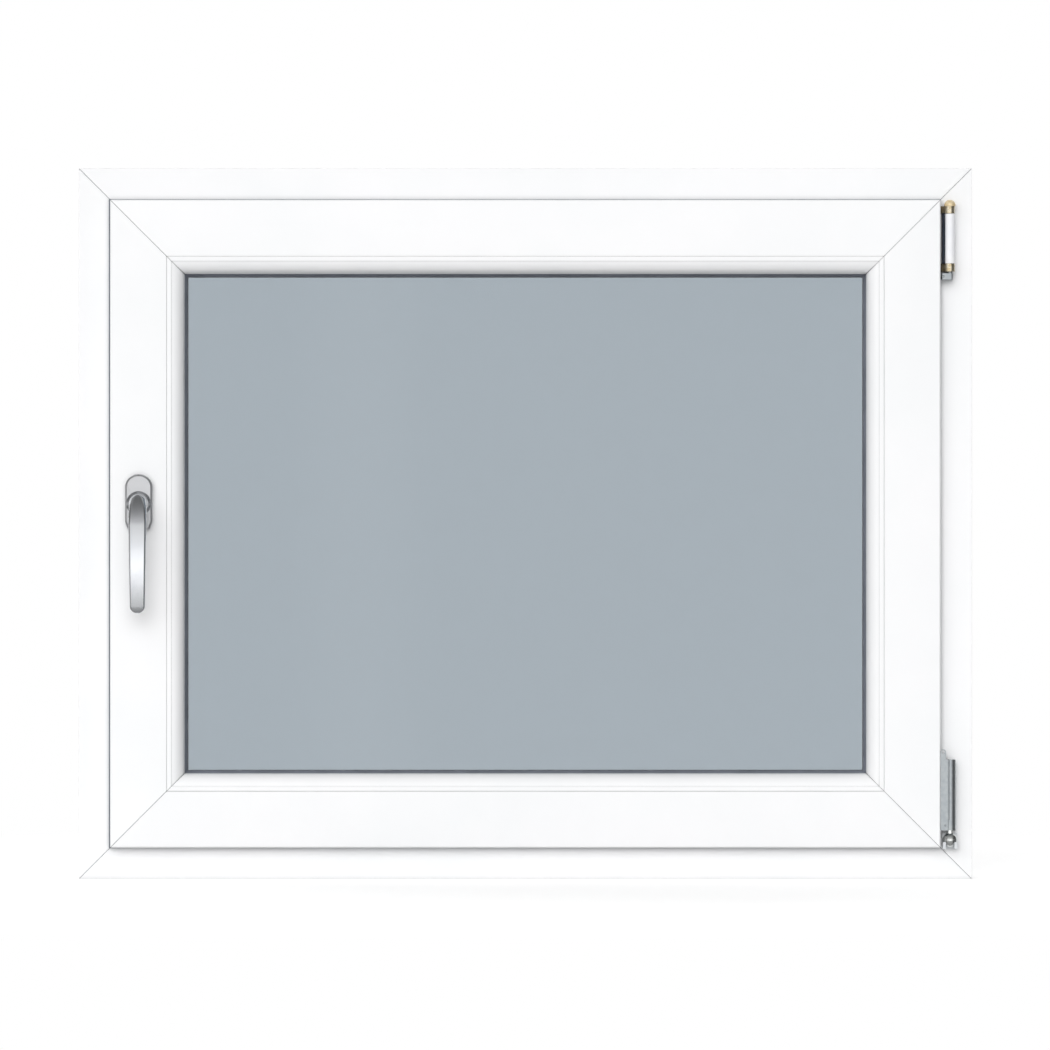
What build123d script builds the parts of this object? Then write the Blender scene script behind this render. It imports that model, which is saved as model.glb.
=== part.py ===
from build123d import *
import math
import os

# A tilt and turn plastic window for a wall opening of 1.00 by 0.80 metres, seen from the room:
# a welded outer frame, a sash that covers the frame's inner edge, double glazing held by beads,
# a lever handle on the left and surface hinges on the right.
# X runs to the hinge side, Z up, and the room lies towards -Y. The origin is the middle of the
# frame's underside, at half its depth.

# Outer frame
FRAME_WIDTH = 980.0
FRAME_HEIGHT = 780.0
FRAME_DEPTH = 70.0
FRAME_ROOM_LEG = 43.0
FRAME_WEATHER_LEG = 70.0
WEATHER_LEG_THICKNESS = 13.0
WEATHER_LEG_SLOPE = 5.0
OUTER_GROOVE_WIDTH = 8.0
OUTER_GROOVE_DEPTH = 3.0
OUTER_GROOVE_SPACING = 40.0

# Welded corners of the frame and the sash, and the open joints between the beads
WELD_WIDTH = 0.6
WELD_SETBACK = 0.4
BEAD_JOINT = 0.4

# Sash, its lip over the frame and the gap that the fittings run in
SASH_MARGIN = 35.0
LIP_PROUD = 16.0
LIP_GASKET_GAP = 3.0
FITTINGS_GAP = 12.0
SASH_FACE_WIDTH = 62.0
SASH_STOP_GAP = 3.0
LIP_ROUND = 2.0
SEAM_CHAMFER = 0.4

# Glazing
PANE_THICKNESS = 4.0
PANE_GAP = 16.0
GLASS_EDGE_GAP = 5.0
GLAZING_GASKET = 4.0
GLASS_BITE = 14.0
GLAZING_LEG = 19.0
GLAZING_LEG_SLOPE = 4.0
SPACER_WIDTH = 6.5
EDGE_SEAL_WIDTH = 5.0
GASKET_SHOW = 3.2
GASKET_SHOULDER = 0.8
GASKET_LIP = 0.6
PACKER_LENGTH = 100.0
PACKER_FROM_CORNER = 60.0

# Glazing bead
BEAD_FLAT = 5.0
BEAD_STEP = 0.6
BEAD_BROW_SLOPE = 0.12
BEAD_NOSE_DEPTH = 4.0
BEAD_FOOT_WIDTH = 3.5
BEAD_FOOT_LENGTH = 7.0
BEAD_HOOK = 1.6
BEAD_CLEARANCE = 0.1

# How far the overlap gasket shows past each edge of the sash
FIN_HANDLE_SIDE = 1.9
FIN_TOP = 1.0
FIN_BOTTOM = 0.5
FIN_HINGE_SIDE = 0.4
FIN_HIDDEN = 5.0

# Handle
HANDLE_EDGE_DISTANCE = 31.7
HANDLE_HEIGHT = 412.0
ROSETTE_WIDTH = 29.8
ROSETTE_LENGTH = 61.2
ROSETTE_THICKNESS = 9.0
ROSETTE_RISE = 1.7
ROSETTE_ARCH = 12.0
ROSETTE_TAPER_LENGTH = 9.0
ROSETTE_TAPER = 3.3
ROSETTE_CORNER = 3.0
ROSETTE_EDGE = 2.0
COLLAR_DIAMETER = 27.3
COLLAR_HEIGHT = 4.0
COLLAR_EDGE = 1.2
LEVER_END_WIDTH = 16.4
LEVER_REACH = 119.7
LEVER_CLEAR = 32.0
LEVER_THICKNESS = 13.0
LEVER_END_THICKNESS = 10.0
LEVER_BEND_REACH = 21.0
LEVER_BEND_DROP = 26.0
LEVER_BEND_TURN = 82.0
LEVER_ROUNDNESS = 0.45
LEVER_TIP_ANGLE = 78.0
LEVER_BEND_STEPS = 3
LEVER_GRIP_STEPS = 4
LEVER_TIP_STEPS = 3
NECK_DIAMETER = 19.4
NECK_ROUNDNESS = 0.995
NECK_FIT = 0.05
SPINDLE_SIZE = 7.0
SPINDLE_DEPTH = 40.0
SPINDLE_CLEARANCE = 0.5

# Hinges
HINGE_AXIS_OFFSET = 10.5
HINGE_AXIS_STANDOFF = 8.5
TOP_HINGE_DROP = 122.6
HINGE_BASE_HEIGHT = 7.2
HINGE_BASE_WIDTH = 12.6
HINGE_BASE_ROUND = 2.0
JOINT_LINE = 1.7
LOWER_KNUCKLE_HEIGHT = 9.0
SLEEVE_HEIGHT = 54.7
UPPER_KNUCKLE_HEIGHT = 8.2
CAP_HEIGHT = 7.0
CAP_RIM = 2.0
KNUCKLE_DIAMETER = 10.6
SLEEVE_DIAMETER = 11.2
CAP_DIAMETER = 12.4
HINGE_PIN_DIAMETER = 6.0
PIN_FIT = 0.05
STRAP_BOTTOM = 53.9
STRAP_HEIGHT = 77.6
STRAP_WIDTH = 8.0
STRAP_THICKNESS = 12.0
TONGUE_WIDTH = 5.9
TONGUE_HEIGHT = 11.3
TONGUE_THICKNESS = 3.0
TONGUE_HOLE = 3.2
BARREL_DIAMETER = 12.4
BARREL_GROOVE_WIDTH = 1.7
BARREL_GROOVE_DEPTH = 4.0
BARREL_GROOVE_FROM_END = 11.5
PIT_DIAMETER = 2.4
PIT_DEPTH = 1.5
STRAP_PIT_FROM_EDGE = 5.0
STRAP_PIT_HEIGHT = 5.5
BASE_PIT_FROM_EDGE = 2.2
BALL_DIAMETER = 15.8
BALL_HEIGHT = 43.4
BALL_FIT = 0.05
BALL_STEM_DIAMETER = 7.0
BEARING_BOTTOM = 33.5
BEARING_LEG = 3.2
BEARING_LEG_HEIGHT = 7.5
BEARING_PLATE = 3.0
BEARING_PLATE_HEIGHT = 17.0
HINGE_SIDE_CLEARANCE = 0.3

# Drain slots in the sill's weather face, with their caps
DRAIN_FROM_END = 160.0
DRAIN_HEIGHT = 16.0
DRAIN_SLOT_LENGTH = 28.0
DRAIN_SLOT_WIDTH = 5.0
DRAIN_SLOT_DEPTH = 20.0
DRAIN_CAP_LENGTH = 42.0
DRAIN_CAP_WIDTH = 12.0
DRAIN_CAP_THICKNESS = 3.5
DRAIN_CAP_WALL = 1.5
DRAIN_CAP_EDGE = 1.0
DRAIN_CAP_MOUTH = 24.0

# Depths across the window
ROOM_FACE = -FRAME_DEPTH / 2
WEATHER_FACE = FRAME_DEPTH / 2
SASH_FACE = ROOM_FACE - LIP_PROUD
LIP_BACK = ROOM_FACE - LIP_GASKET_GAP
WEATHER_LEG_FACE = WEATHER_FACE - WEATHER_LEG_THICKNESS
SASH_BACK = WEATHER_LEG_FACE - SASH_STOP_GAP
GLAZING_LEG_FACE = SASH_BACK - GLAZING_LEG
GLASS_BACK = GLAZING_LEG_FACE - GLAZING_GASKET
INNER_PANE_BACK = GLASS_BACK - PANE_THICKNESS - PANE_GAP
GLASS_FRONT = INNER_PANE_BACK - PANE_THICKNESS
BEAD_BACK = GLASS_FRONT - GLAZING_GASKET

# Distances in from the frame's outer edge
SASH_BODY_EDGE = FRAME_ROOM_LEG + FITTINGS_GAP
BEAD_EDGE = SASH_MARGIN + SASH_FACE_WIDTH
GLASS_EDGE = BEAD_EDGE + GLASS_EDGE_GAP
SIGHT_EDGE = GLASS_EDGE + GLASS_BITE
GASKET_EDGE = SIGHT_EDGE + GASKET_SHOW

# Places of the fittings
SASH_RIGHT = FRAME_WIDTH / 2 - SASH_MARGIN
HANDLE_X = -FRAME_WIDTH / 2 + SASH_MARGIN + HANDLE_EDGE_DISTANCE
HINGE_X = SASH_RIGHT + HINGE_AXIS_OFFSET
HINGE_Y = ROOM_FACE - HINGE_AXIS_STANDOFF
HINGE_FRONT = HINGE_Y - BARREL_DIAMETER / 2
TOP_HINGE_BASE = FRAME_HEIGHT - TOP_HINGE_DROP
BESIDE_SASH = SASH_RIGHT + HINGE_SIDE_CLEARANCE
BESIDE_FIN = BESIDE_SASH + FIN_HINGE_SIDE
SPINDLE_BORE = SPINDLE_SIZE * math.sqrt(2) + 2 * SPINDLE_CLEARANCE


def side_plane(origin, inward):
    """The plane across one side's bar at its middle: X into the window, Y to the weather."""
    return Plane(origin=origin, x_dir=inward, z_dir=Vector(*inward).cross(Vector(0, 1, 0)))


SIDES = {
    "bottom": (side_plane((0, 0, 0), (0, 0, 1)), FRAME_WIDTH / 2),
    "top": (side_plane((0, 0, FRAME_HEIGHT), (0, 0, -1)), FRAME_WIDTH / 2),
    "handle_side": (side_plane((-FRAME_WIDTH / 2, 0, FRAME_HEIGHT / 2), (1, 0, 0)), FRAME_HEIGHT / 2),
    "hinge_side": (side_plane((FRAME_WIDTH / 2, 0, FRAME_HEIGHT / 2), (-1, 0, 0)), FRAME_HEIGHT / 2),
}


def facing_room(depth, x=0.0, z=FRAME_HEIGHT / 2):
    """The upright plane at a depth, seen from the room: X right, Y up, and its normal to the room."""
    return Plane(origin=(x, depth, z), x_dir=(1, 0, 0), z_dir=(0, -1, 0))


def at_height(z, x=0.0, y=0.0):
    """The level plane at a height."""
    return Plane(origin=(x, y, z))


def save(part, name):
    """Label one finished piece and write it."""
    part.label = name
    export_step(part, f"parts/{name}.step")


def mitred_bar(section, side, joint=0.0):
    """A bar of one section along one side, mitred at both ends on the frame's diagonals.

    Two bars that meet at a corner stand apart there by the joint's width.
    """
    plane, half_length = SIDES[side]
    with BuildPart() as bar:
        with BuildSketch(plane):
            add(section)
        extrude(amount=half_length, both=True)
        for end in (-1, 1):
            corner = plane.from_local_coords((0, 0, end * half_length))
            outward = plane.x_dir + plane.z_dir * end
            mitre = Plane(origin=corner, z_dir=outward).offset(-joint / 2)
            split(bisect_by=mitre, keep=Keep.BOTTOM)
    return bar.part


def mitred_ring(section):
    """Four mitred bars of one section, joined at the corners."""
    with BuildPart() as ring:
        for side in SIDES:
            add(mitred_bar(section, side))
    return ring.part


def corner_welds(section):
    """The four welds of a ring of bars: thin sheets on the mitres, set back from every face."""
    with BuildSketch() as set_back:
        add(section)
        offset(amount=-WELD_SETBACK, kind=Kind.INTERSECTION)
    slab_length = 2 * math.sqrt(2) * SIGHT_EDGE
    with BuildPart() as welds:
        add(mitred_ring(set_back.sketch))
        with BuildSketch(facing_room(WEATHER_FACE)):
            for along_x in (-1, 1):
                for along_z in (-1, 1):
                    diagonal = math.degrees(math.atan2(along_z, along_x))
                    with Locations((along_x * FRAME_WIDTH / 2, along_z * FRAME_HEIGHT / 2)):
                        Rectangle(slab_length, WELD_WIDTH, rotation=diagonal)
        extrude(amount=WEATHER_FACE - SASH_FACE, mode=Mode.INTERSECT)
    return welds.part


def frame_section():
    """The outer frame's section: a box, the stop leg, and two grooves in the face to the wall."""
    with BuildSketch() as section:
        with BuildLine():
            Polyline(
                (0, ROOM_FACE),
                (FRAME_ROOM_LEG, ROOM_FACE),
                (FRAME_ROOM_LEG, WEATHER_LEG_FACE),
                (FRAME_WEATHER_LEG, WEATHER_LEG_FACE),
                (FRAME_WEATHER_LEG, WEATHER_FACE - WEATHER_LEG_SLOPE),
                (FRAME_WEATHER_LEG - WEATHER_LEG_SLOPE, WEATHER_FACE),
                (0, WEATHER_FACE),
                close=True,
            )
        make_face()
        with GridLocations(0, OUTER_GROOVE_SPACING, 1, 2):
            Rectangle(2 * OUTER_GROOVE_DEPTH, OUTER_GROOVE_WIDTH, mode=Mode.SUBTRACT)
    return section.sketch


def sash_section():
    """The sash's section: lip, body, glazing leg and the groove that the bead's hook snaps into."""
    lip_corner = (SASH_MARGIN, SASH_FACE)
    hook_depth = BEAD_HOOK + BEAD_CLEARANCE
    hook_front = BEAD_BACK + BEAD_FOOT_LENGTH - BEAD_HOOK - BEAD_CLEARANCE
    hook_back = BEAD_BACK + BEAD_FOOT_LENGTH + BEAD_CLEARANCE
    with BuildSketch() as section:
        with BuildLine():
            Polyline(
                lip_corner,
                (BEAD_EDGE - SEAM_CHAMFER, SASH_FACE),
                (BEAD_EDGE, SASH_FACE + SEAM_CHAMFER),
                (BEAD_EDGE, hook_front),
                (BEAD_EDGE - hook_depth, hook_front),
                (BEAD_EDGE - hook_depth, hook_back),
                (BEAD_EDGE, hook_back),
                (BEAD_EDGE, GLAZING_LEG_FACE),
                (SIGHT_EDGE, GLAZING_LEG_FACE),
                (SIGHT_EDGE, SASH_BACK - GLAZING_LEG_SLOPE),
                (SIGHT_EDGE - GLAZING_LEG_SLOPE, SASH_BACK),
                (SASH_BODY_EDGE, SASH_BACK),
                (SASH_BODY_EDGE, LIP_BACK),
                (SASH_MARGIN, LIP_BACK),
                close=True,
            )
        make_face()
        corner = section.vertices().sort_by_distance(lip_corner)[0]
        fillet(corner, LIP_ROUND)
    return section.sketch


def bead_section():
    """The bead's section: a flat, a fine step, a convex face down to the glass, and its foot."""
    step_face = SASH_FACE + BEAD_STEP
    nose_face = BEAD_BACK - BEAD_NOSE_DEPTH
    flat_end = BEAD_EDGE + BEAD_FLAT
    foot_back = BEAD_BACK + BEAD_FOOT_LENGTH
    foot_edge = BEAD_EDGE + BEAD_CLEARANCE
    with BuildSketch() as section:
        with BuildLine():
            Line((BEAD_EDGE, SASH_FACE + SEAM_CHAMFER), (BEAD_EDGE + SEAM_CHAMFER, SASH_FACE))
            Line((BEAD_EDGE + SEAM_CHAMFER, SASH_FACE), (flat_end, SASH_FACE))
            Line((flat_end, SASH_FACE), (flat_end, step_face))
            TangentArc((flat_end, step_face), (SIGHT_EDGE, nose_face), tangent=(1, BEAD_BROW_SLOPE))
            Polyline(
                (SIGHT_EDGE, nose_face),
                (SIGHT_EDGE, BEAD_BACK),
                (foot_edge + BEAD_FOOT_WIDTH, BEAD_BACK),
                (foot_edge + BEAD_FOOT_WIDTH, foot_back),
                (foot_edge - BEAD_HOOK, foot_back),
                (foot_edge, foot_back - BEAD_HOOK),
                (foot_edge, BEAD_BACK),
                (BEAD_EDGE, BEAD_BACK),
                (BEAD_EDGE, SASH_FACE + SEAM_CHAMFER),
            )
        make_face()
    return section.sketch


def gasket_section(seat, glass):
    """A glazing gasket's section: square where it is held, then a lip that thins over the glass."""
    lip_face = glass + math.copysign(GASKET_LIP, seat - glass)
    with BuildSketch() as section:
        with BuildLine():
            Polyline(
                (GLASS_EDGE, seat),
                (SIGHT_EDGE + GASKET_SHOULDER, seat),
                (GASKET_EDGE, lip_face),
                (GASKET_EDGE, glass),
                (GLASS_EDGE, glass),
                close=True,
            )
        make_face()
    return section.sketch


def strip_section(u_from, u_to, y_from, y_to):
    """A plain rectangular section between two distances in and two depths."""
    with BuildSketch() as section:
        with Locations(((u_from + u_to) / 2, (y_from + y_to) / 2)):
            Rectangle(u_to - u_from, y_to - y_from)
    return section.sketch


def pane(back):
    """One sheet of the glazing unit, from its back face towards the room."""
    with BuildPart() as sheet:
        with BuildSketch(facing_room(back)):
            Rectangle(FRAME_WIDTH - 2 * GLASS_EDGE, FRAME_HEIGHT - 2 * GLASS_EDGE)
        extrude(amount=PANE_THICKNESS)
    return sheet.part


def glass_packers():
    """Packers between the glass edge and the sash: two under, two over and two at each side."""
    half_width = FRAME_WIDTH / 2 - BEAD_EDGE
    half_height = FRAME_HEIGHT / 2 - BEAD_EDGE
    edge_middle = GLASS_EDGE_GAP / 2
    along_x = half_width - PACKER_FROM_CORNER - PACKER_LENGTH / 2
    along_z = half_height - PACKER_FROM_CORNER - PACKER_LENGTH / 2
    with BuildPart() as packers:
        with BuildSketch(facing_room(GLASS_BACK)):
            with GridLocations(2 * along_x, 2 * (half_height - edge_middle), 2, 2):
                Rectangle(PACKER_LENGTH, GLASS_EDGE_GAP)
            with GridLocations(2 * (half_width - edge_middle), 2 * along_z, 2, 2):
                Rectangle(GLASS_EDGE_GAP, PACKER_LENGTH)
        extrude(amount=2 * PANE_THICKNESS + PANE_GAP - BEAD_FOOT_LENGTH)
    return packers.part


def overlap_gasket():
    """The soft gasket between the sash's lip and the frame, whose fin shows past the sash."""
    width = FRAME_WIDTH - 2 * SASH_MARGIN + FIN_HANDLE_SIDE + FIN_HINGE_SIDE
    height = FRAME_HEIGHT - 2 * SASH_MARGIN + FIN_TOP + FIN_BOTTOM
    centre = ((FIN_HINGE_SIDE - FIN_HANDLE_SIDE) / 2, (FIN_TOP - FIN_BOTTOM) / 2)
    inner_inset = 2 * (SASH_MARGIN + FIN_HIDDEN)
    with BuildPart() as gasket:
        with BuildSketch(facing_room(ROOM_FACE)):
            with Locations(centre):
                Rectangle(width, height)
            Rectangle(FRAME_WIDTH - inner_inset, FRAME_HEIGHT - inner_inset, mode=Mode.SUBTRACT)
        extrude(amount=LIP_GASKET_GAP)
    return gasket.part


def handle_rosette():
    """The base plate on the sash: arched at the top, drawn in at the foot, bored for the spindle."""
    half_width = ROSETTE_WIDTH / 2
    half_length = ROSETTE_LENGTH / 2
    with BuildPart() as rosette:
        with BuildSketch(facing_room(SASH_FACE, HANDLE_X, HANDLE_HEIGHT + ROSETTE_RISE)):
            with BuildLine():
                arch_start = (-half_width, half_length - ROSETTE_ARCH)
                arch_end = (half_width, half_length - ROSETTE_ARCH)
                ThreePointArc(arch_start, (0, half_length), arch_end)
                Polyline(
                    arch_end,
                    (half_width, ROSETTE_TAPER_LENGTH - half_length),
                    (half_width - ROSETTE_TAPER, -half_length),
                    (ROSETTE_TAPER - half_width, -half_length),
                    (-half_width, ROSETTE_TAPER_LENGTH - half_length),
                    arch_start,
                )
            make_face()
        extrude(amount=ROSETTE_THICKNESS)
        fillet(rosette.edges().filter_by(Axis.Y), ROSETTE_CORNER)
        chamfer(rosette.faces().sort_by(Axis.Y)[0].edges(), ROSETTE_EDGE)
        with BuildSketch(facing_room(SASH_FACE, HANDLE_X, HANDLE_HEIGHT)):
            Circle(SPINDLE_BORE / 2)
        extrude(amount=ROSETTE_THICKNESS, mode=Mode.SUBTRACT)
    return rosette.part


def handle_collar():
    """The raised ring on the rosette in which the lever's neck turns."""
    with BuildPart() as collar:
        with BuildSketch(facing_room(SASH_FACE - ROSETTE_THICKNESS, HANDLE_X, HANDLE_HEIGHT)):
            Circle(COLLAR_DIAMETER / 2)
            Circle(NECK_DIAMETER / 2 + NECK_FIT, mode=Mode.SUBTRACT)
        extrude(amount=COLLAR_HEIGHT)
        rim = collar.faces().sort_by(Axis.Y)[0].edges().sort_by(SortBy.LENGTH)[-1]
        chamfer(rim, COLLAR_EDGE)
    return collar.part


def lever_section(depth, drop, lean, width, thickness, roundness):
    """One section of the lever, a rectangle with round corners.

    It lies at a depth and a drop below the handle's axis, and leans from facing the room (0
    degrees) to facing down (90). Its corners' radius is the roundness times half its shorter side.
    """
    place = facing_room(depth, HANDLE_X, HANDLE_HEIGHT - drop).rotated((lean, 0, 0))
    with BuildSketch(place) as section:
        RectangleRounded(width, thickness, roundness * min(width, thickness) / 2)
    return section.sketch


def handle_lever():
    """The lever: a round neck, a bend that flattens, a bowed grip that narrows, a rounded tip.

    The bend's middle line is the first part of a quarter ellipse. The grip's is a parabola that
    leaves the bend at the bend's own slope, and comes back towards the sash at the same slope.
    The grip's few long facets follow the bow, and the bend and the tip are smooth.
    """
    neck_foot = SASH_FACE - ROSETTE_THICKNESS
    full_turn = math.radians(LEVER_BEND_TURN)
    grip_depth = SASH_FACE - LEVER_CLEAR - LEVER_THICKNESS / 2
    bend_start_depth = grip_depth + LEVER_BEND_REACH * math.sin(full_turn)
    grip_start = LEVER_BEND_DROP * (1 - math.cos(full_turn))
    tip_start = LEVER_REACH - LEVER_END_WIDTH / 2
    slope = LEVER_BEND_REACH / (LEVER_BEND_DROP * math.tan(full_turn))
    lean = math.degrees(math.atan(slope))
    bend, grip, tip = [], [], []
    for step in range(LEVER_BEND_STEPS + 1):
        share = step / LEVER_BEND_STEPS
        turn = share * full_turn
        bend.append(
            lever_section(
                bend_start_depth - LEVER_BEND_REACH * math.sin(turn),
                LEVER_BEND_DROP * (1 - math.cos(turn)),
                share * (90 - lean),
                NECK_DIAMETER,
                NECK_DIAMETER + (LEVER_THICKNESS - NECK_DIAMETER) * share,
                NECK_ROUNDNESS + (LEVER_ROUNDNESS - NECK_ROUNDNESS) * share,
            )
        )
    for step in range(LEVER_GRIP_STEPS + 1):
        share = step / LEVER_GRIP_STEPS
        grip.append(
            lever_section(
                grip_depth - (tip_start - grip_start) * slope * share * (1 - share),
                grip_start + (tip_start - grip_start) * share,
                90 - math.degrees(math.atan(slope * (1 - 2 * share))),
                NECK_DIAMETER + (LEVER_END_WIDTH - NECK_DIAMETER) * share,
                LEVER_THICKNESS + (LEVER_END_THICKNESS - LEVER_THICKNESS) * share,
                LEVER_ROUNDNESS,
            )
        )
    for step in range(LEVER_TIP_STEPS + 1):
        turn = math.radians(LEVER_TIP_ANGLE) * step / LEVER_TIP_STEPS
        beyond = LEVER_END_WIDTH / 2 * math.sin(turn)
        tip.append(
            lever_section(
                grip_depth + beyond * slope,
                tip_start + beyond,
                90 + lean,
                LEVER_END_WIDTH * math.cos(turn),
                LEVER_END_THICKNESS * math.cos(turn) ** 0.5,
                LEVER_ROUNDNESS,
            )
        )
    with BuildPart() as lever:
        extrude(bend[0], amount=bend_start_depth - neck_foot)
        loft(bend)
        loft(grip, ruled=True)
        loft(tip)
    return lever.part


def handle_spindle():
    """The square bar that the lever turns inside the sash."""
    neck_foot = SASH_FACE - ROSETTE_THICKNESS
    with BuildPart() as spindle:
        with BuildSketch(facing_room(neck_foot, HANDLE_X, HANDLE_HEIGHT)):
            Rectangle(SPINDLE_SIZE, SPINDLE_SIZE)
        extrude(amount=-SPINDLE_DEPTH)
    return spindle.part


def spindle_bore():
    """The round bore in the sash that the spindle turns in."""
    with BuildPart() as bore:
        with BuildSketch(facing_room(SASH_FACE, HANDLE_X, HANDLE_HEIGHT)):
            Circle(SPINDLE_BORE / 2)
        extrude(amount=-SPINDLE_DEPTH)
    return bore.part


def knuckle(bottom, height, ear_left, ear_back):
    """A bored knuckle with the ear that reaches beside the sash, back to a given depth."""
    ear_depth = ear_back - HINGE_FRONT
    with BuildPart() as body:
        with BuildSketch(at_height(bottom)):
            with Locations((HINGE_X, HINGE_Y)):
                Circle(KNUCKLE_DIAMETER / 2)
            with Locations(((ear_left + HINGE_X) / 2, HINGE_FRONT + ear_depth / 2)):
                Rectangle(HINGE_X - ear_left, ear_depth)
            with Locations((HINGE_X, HINGE_Y)):
                Circle(HINGE_PIN_DIAMETER / 2 + PIN_FIT, mode=Mode.SUBTRACT)
        extrude(amount=height)
    return body.part


def pit(depth, x, z):
    """A small blind hole, from a face at a depth inwards."""
    with BuildPart() as hole:
        with BuildSketch(facing_room(depth, x, z)):
            Circle(PIT_DIAMETER / 2)
        extrude(amount=-PIT_DEPTH)
    return hole.part


def turned(bottom, height, diameter, bore=0.0):
    """A plain turned piece on the hinge axis, with a bore if it has one."""
    with BuildPart() as body:
        with BuildSketch(at_height(bottom, HINGE_X, HINGE_Y)):
            Circle(diameter / 2)
            if bore:
                Circle(bore / 2, mode=Mode.SUBTRACT)
        extrude(amount=height)
    return body.part


def drain_slot(x):
    """The slot through which water leaves the sill's chamber, from the weather face inwards."""
    with BuildPart() as slot:
        with BuildSketch(facing_room(WEATHER_FACE, x, DRAIN_HEIGHT)):
            SlotOverall(DRAIN_SLOT_LENGTH, DRAIN_SLOT_WIDTH)
        extrude(amount=DRAIN_SLOT_DEPTH)
    return slot.part


def drain_cap(x):
    """The hood over one drain slot, hollow behind and open in its lower edge."""
    place = facing_room(WEATHER_FACE, x, DRAIN_HEIGHT)
    inner_depth = DRAIN_CAP_THICKNESS - DRAIN_CAP_WALL
    with BuildPart() as cap:
        with BuildSketch(place):
            SlotOverall(DRAIN_CAP_LENGTH, DRAIN_CAP_WIDTH)
        extrude(amount=-DRAIN_CAP_THICKNESS)
        chamfer(cap.faces().sort_by(Axis.Y)[-1].edges(), DRAIN_CAP_EDGE)
        with BuildSketch(place):
            SlotOverall(DRAIN_CAP_LENGTH - 2 * DRAIN_CAP_WALL, DRAIN_CAP_WIDTH - 2 * DRAIN_CAP_WALL)
            with Locations((0, -DRAIN_CAP_WIDTH / 2)):
                Rectangle(DRAIN_CAP_MOUTH, DRAIN_CAP_WIDTH)
        extrude(amount=-inner_depth, mode=Mode.SUBTRACT)
    return cap.part


os.makedirs("parts", exist_ok=True)

DRAIN_PLACES = {"left": DRAIN_FROM_END - FRAME_WIDTH / 2, "right": FRAME_WIDTH / 2 - DRAIN_FROM_END}

# Frame, sash and beads, four mitred bars each
for side in SIDES:
    with BuildPart() as frame_bar:
        add(mitred_bar(frame_section(), side, WELD_WIDTH))
        if side == "bottom":
            for x in DRAIN_PLACES.values():
                add(drain_slot(x), mode=Mode.SUBTRACT)
    save(frame_bar.part, f"frame_{side}")
    with BuildPart() as sash_bar:
        add(mitred_bar(sash_section(), side, WELD_WIDTH))
        if side == "handle_side":
            add(spindle_bore(), mode=Mode.SUBTRACT)
    save(sash_bar.part, f"sash_{side}")
    save(mitred_bar(bead_section(), side, BEAD_JOINT), f"bead_{side}")
save(corner_welds(frame_section()), "frame_welds")
save(corner_welds(sash_section()), "sash_welds")

# Glazing unit
save(pane(GLASS_BACK), "glass_weather_pane")
save(pane(INNER_PANE_BACK), "glass_room_pane")
EDGE_SEAL_INNER = GLASS_EDGE + EDGE_SEAL_WIDTH
SPACER_INNER = EDGE_SEAL_INNER + SPACER_WIDTH
SPACER_BACK = GLASS_BACK - PANE_THICKNESS
save(mitred_ring(strip_section(GLASS_EDGE, EDGE_SEAL_INNER, INNER_PANE_BACK, SPACER_BACK)), "glass_edge_seal")
save(mitred_ring(strip_section(EDGE_SEAL_INNER, SPACER_INNER, INNER_PANE_BACK, SPACER_BACK)), "glass_spacer")
save(glass_packers(), "glass_packers")
save(mitred_ring(gasket_section(BEAD_BACK, GLASS_FRONT)), "bead_gasket")
save(mitred_ring(gasket_section(GLAZING_LEG_FACE, GLASS_BACK)), "weather_gasket")
save(overlap_gasket(), "overlap_gasket")
STOP_OUTER = SASH_BODY_EDGE + FIN_HIDDEN
save(mitred_ring(strip_section(STOP_OUTER, FRAME_WEATHER_LEG, SASH_BACK, WEATHER_LEG_FACE)), "stop_gasket")

# Handle
save(handle_rosette(), "handle_rosette")
save(handle_collar(), "handle_collar")
save(handle_lever(), "handle_lever")
save(handle_spindle(), "handle_spindle")

# Top hinge, from the base up
HINGE_AXIS = Axis((HINGE_X, HINGE_Y, 0), (0, 0, 1))
LOWER_KNUCKLE_BOTTOM = TOP_HINGE_BASE + HINGE_BASE_HEIGHT + JOINT_LINE
SLEEVE_BOTTOM = LOWER_KNUCKLE_BOTTOM + LOWER_KNUCKLE_HEIGHT
UPPER_KNUCKLE_BOTTOM = SLEEVE_BOTTOM + SLEEVE_HEIGHT
HINGE_CAP_BOTTOM = UPPER_KNUCKLE_BOTTOM + UPPER_KNUCKLE_HEIGHT
PIN_BORE = HINGE_PIN_DIAMETER + 2 * PIN_FIT

with BuildPart() as hinge_base:
    with BuildSketch(at_height(TOP_HINGE_BASE)):
        with Locations((BESIDE_FIN + HINGE_BASE_WIDTH / 2, (HINGE_FRONT + ROOM_FACE) / 2)):
            Rectangle(HINGE_BASE_WIDTH, ROOM_FACE - HINGE_FRONT)
    extrude(amount=HINGE_BASE_HEIGHT)
    fillet(hinge_base.edges().filter_by(Axis.Z).group_by(Axis.Y)[0], HINGE_BASE_ROUND)
    base_pit = pit(HINGE_FRONT, BESIDE_FIN + BASE_PIT_FROM_EDGE, TOP_HINGE_BASE + HINGE_BASE_HEIGHT / 2)
    add(base_pit, mode=Mode.SUBTRACT)
save(hinge_base.part, "top_hinge_base")

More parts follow.
